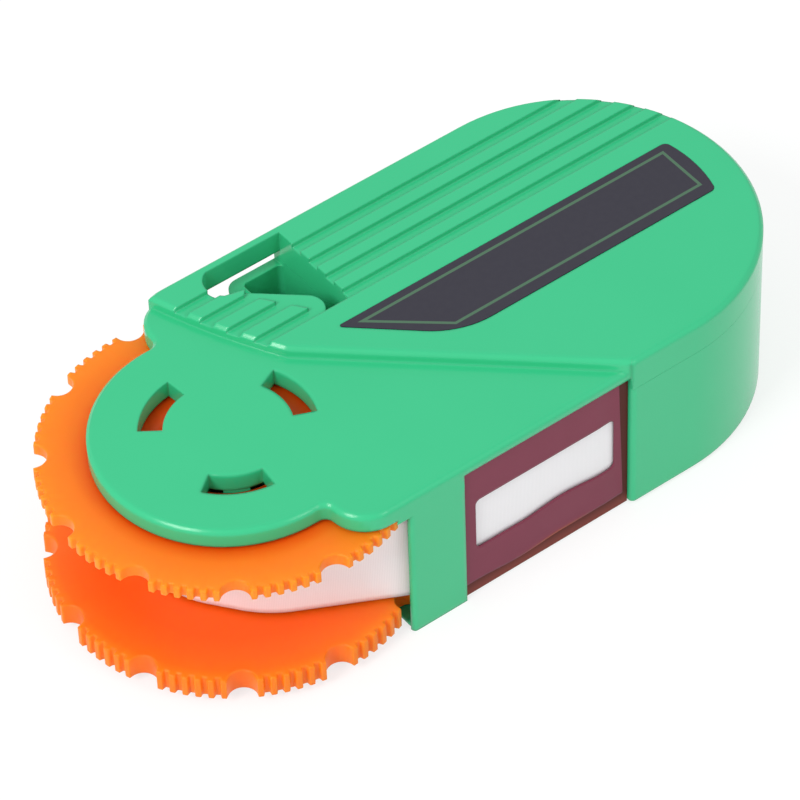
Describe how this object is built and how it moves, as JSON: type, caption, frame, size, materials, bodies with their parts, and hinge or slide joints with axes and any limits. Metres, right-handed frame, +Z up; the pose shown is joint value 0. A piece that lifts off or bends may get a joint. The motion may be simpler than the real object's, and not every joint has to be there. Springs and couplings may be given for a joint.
{
  "type": "reel cassette fibre connector cleaner",
  "caption": "Hand-held cassette that winds a woven cleaning tape past a wiping slot with a toothed thumb reel, for cleaning fibre connector ends.",
  "frame": {"origin": "under the middle of the whole cleaner, on the surface that it lies on", "axes": "+X along the cleaner from the toothed reel to the round end, -Y towards the side with the wiping slot, +Z up through the lid"},
  "size_m": [0.1202, 0.0568, 0.0302],
  "materials": {
    "case_green": "satin moulded green plastic",
    "dial_orange": "moulded orange plastic",
    "label_dark": "dark charcoal film",
    "frame_brown": "brown translucent sheet",
    "mask_maroon": "maroon film",
    "tape_white": "white woven tape",
    "pad_rubber": "soft grey rubber",
    "inner_plastic": "plain moulded plastic",
    "spring_steel": "spring steel",
    "felt": "felt",
    "screw_steel": "zinc-plated steel"
  },
  "bodies": {
    "case": {"upper_case": "case_green", "lower_case": "case_green", "label": "label_dark", "window_frame": "frame_brown", "slot_mask": "mask_maroon", "wiping_pad": "pad_rubber", "pad_carrier": "inner_plastic", "tape_run": "tape_white", "brake_washer": "spring_steel", "friction_ring": "felt", "case_screws": "screw_steel"},
    "reel": {"lower_dial": "dial_orange", "upper_dial": "dial_orange", "takeup_roll": "tape_white", "takeup_clip": "inner_plastic"},
    "supply": {"supply_core": "inner_plastic", "supply_roll": "tape_white", "supply_clip": "inner_plastic"}
  },
  "joints": [
    {"name": "reel_spin", "type": "hinge", "parent": "case", "child": "reel", "pos_m": [-0.0317, 0, 0], "axis": [0, 0, 1], "continuous": true},
    {"name": "supply_spin", "type": "hinge", "parent": "case", "child": "supply", "pos_m": [0.0322, 0, 0], "axis": [0, 0, 1], "continuous": true}
  ],
  "couplings": [
    {"joint": "supply_spin", "follows": "reel_spin", "ratio": 0.69}
  ]
}
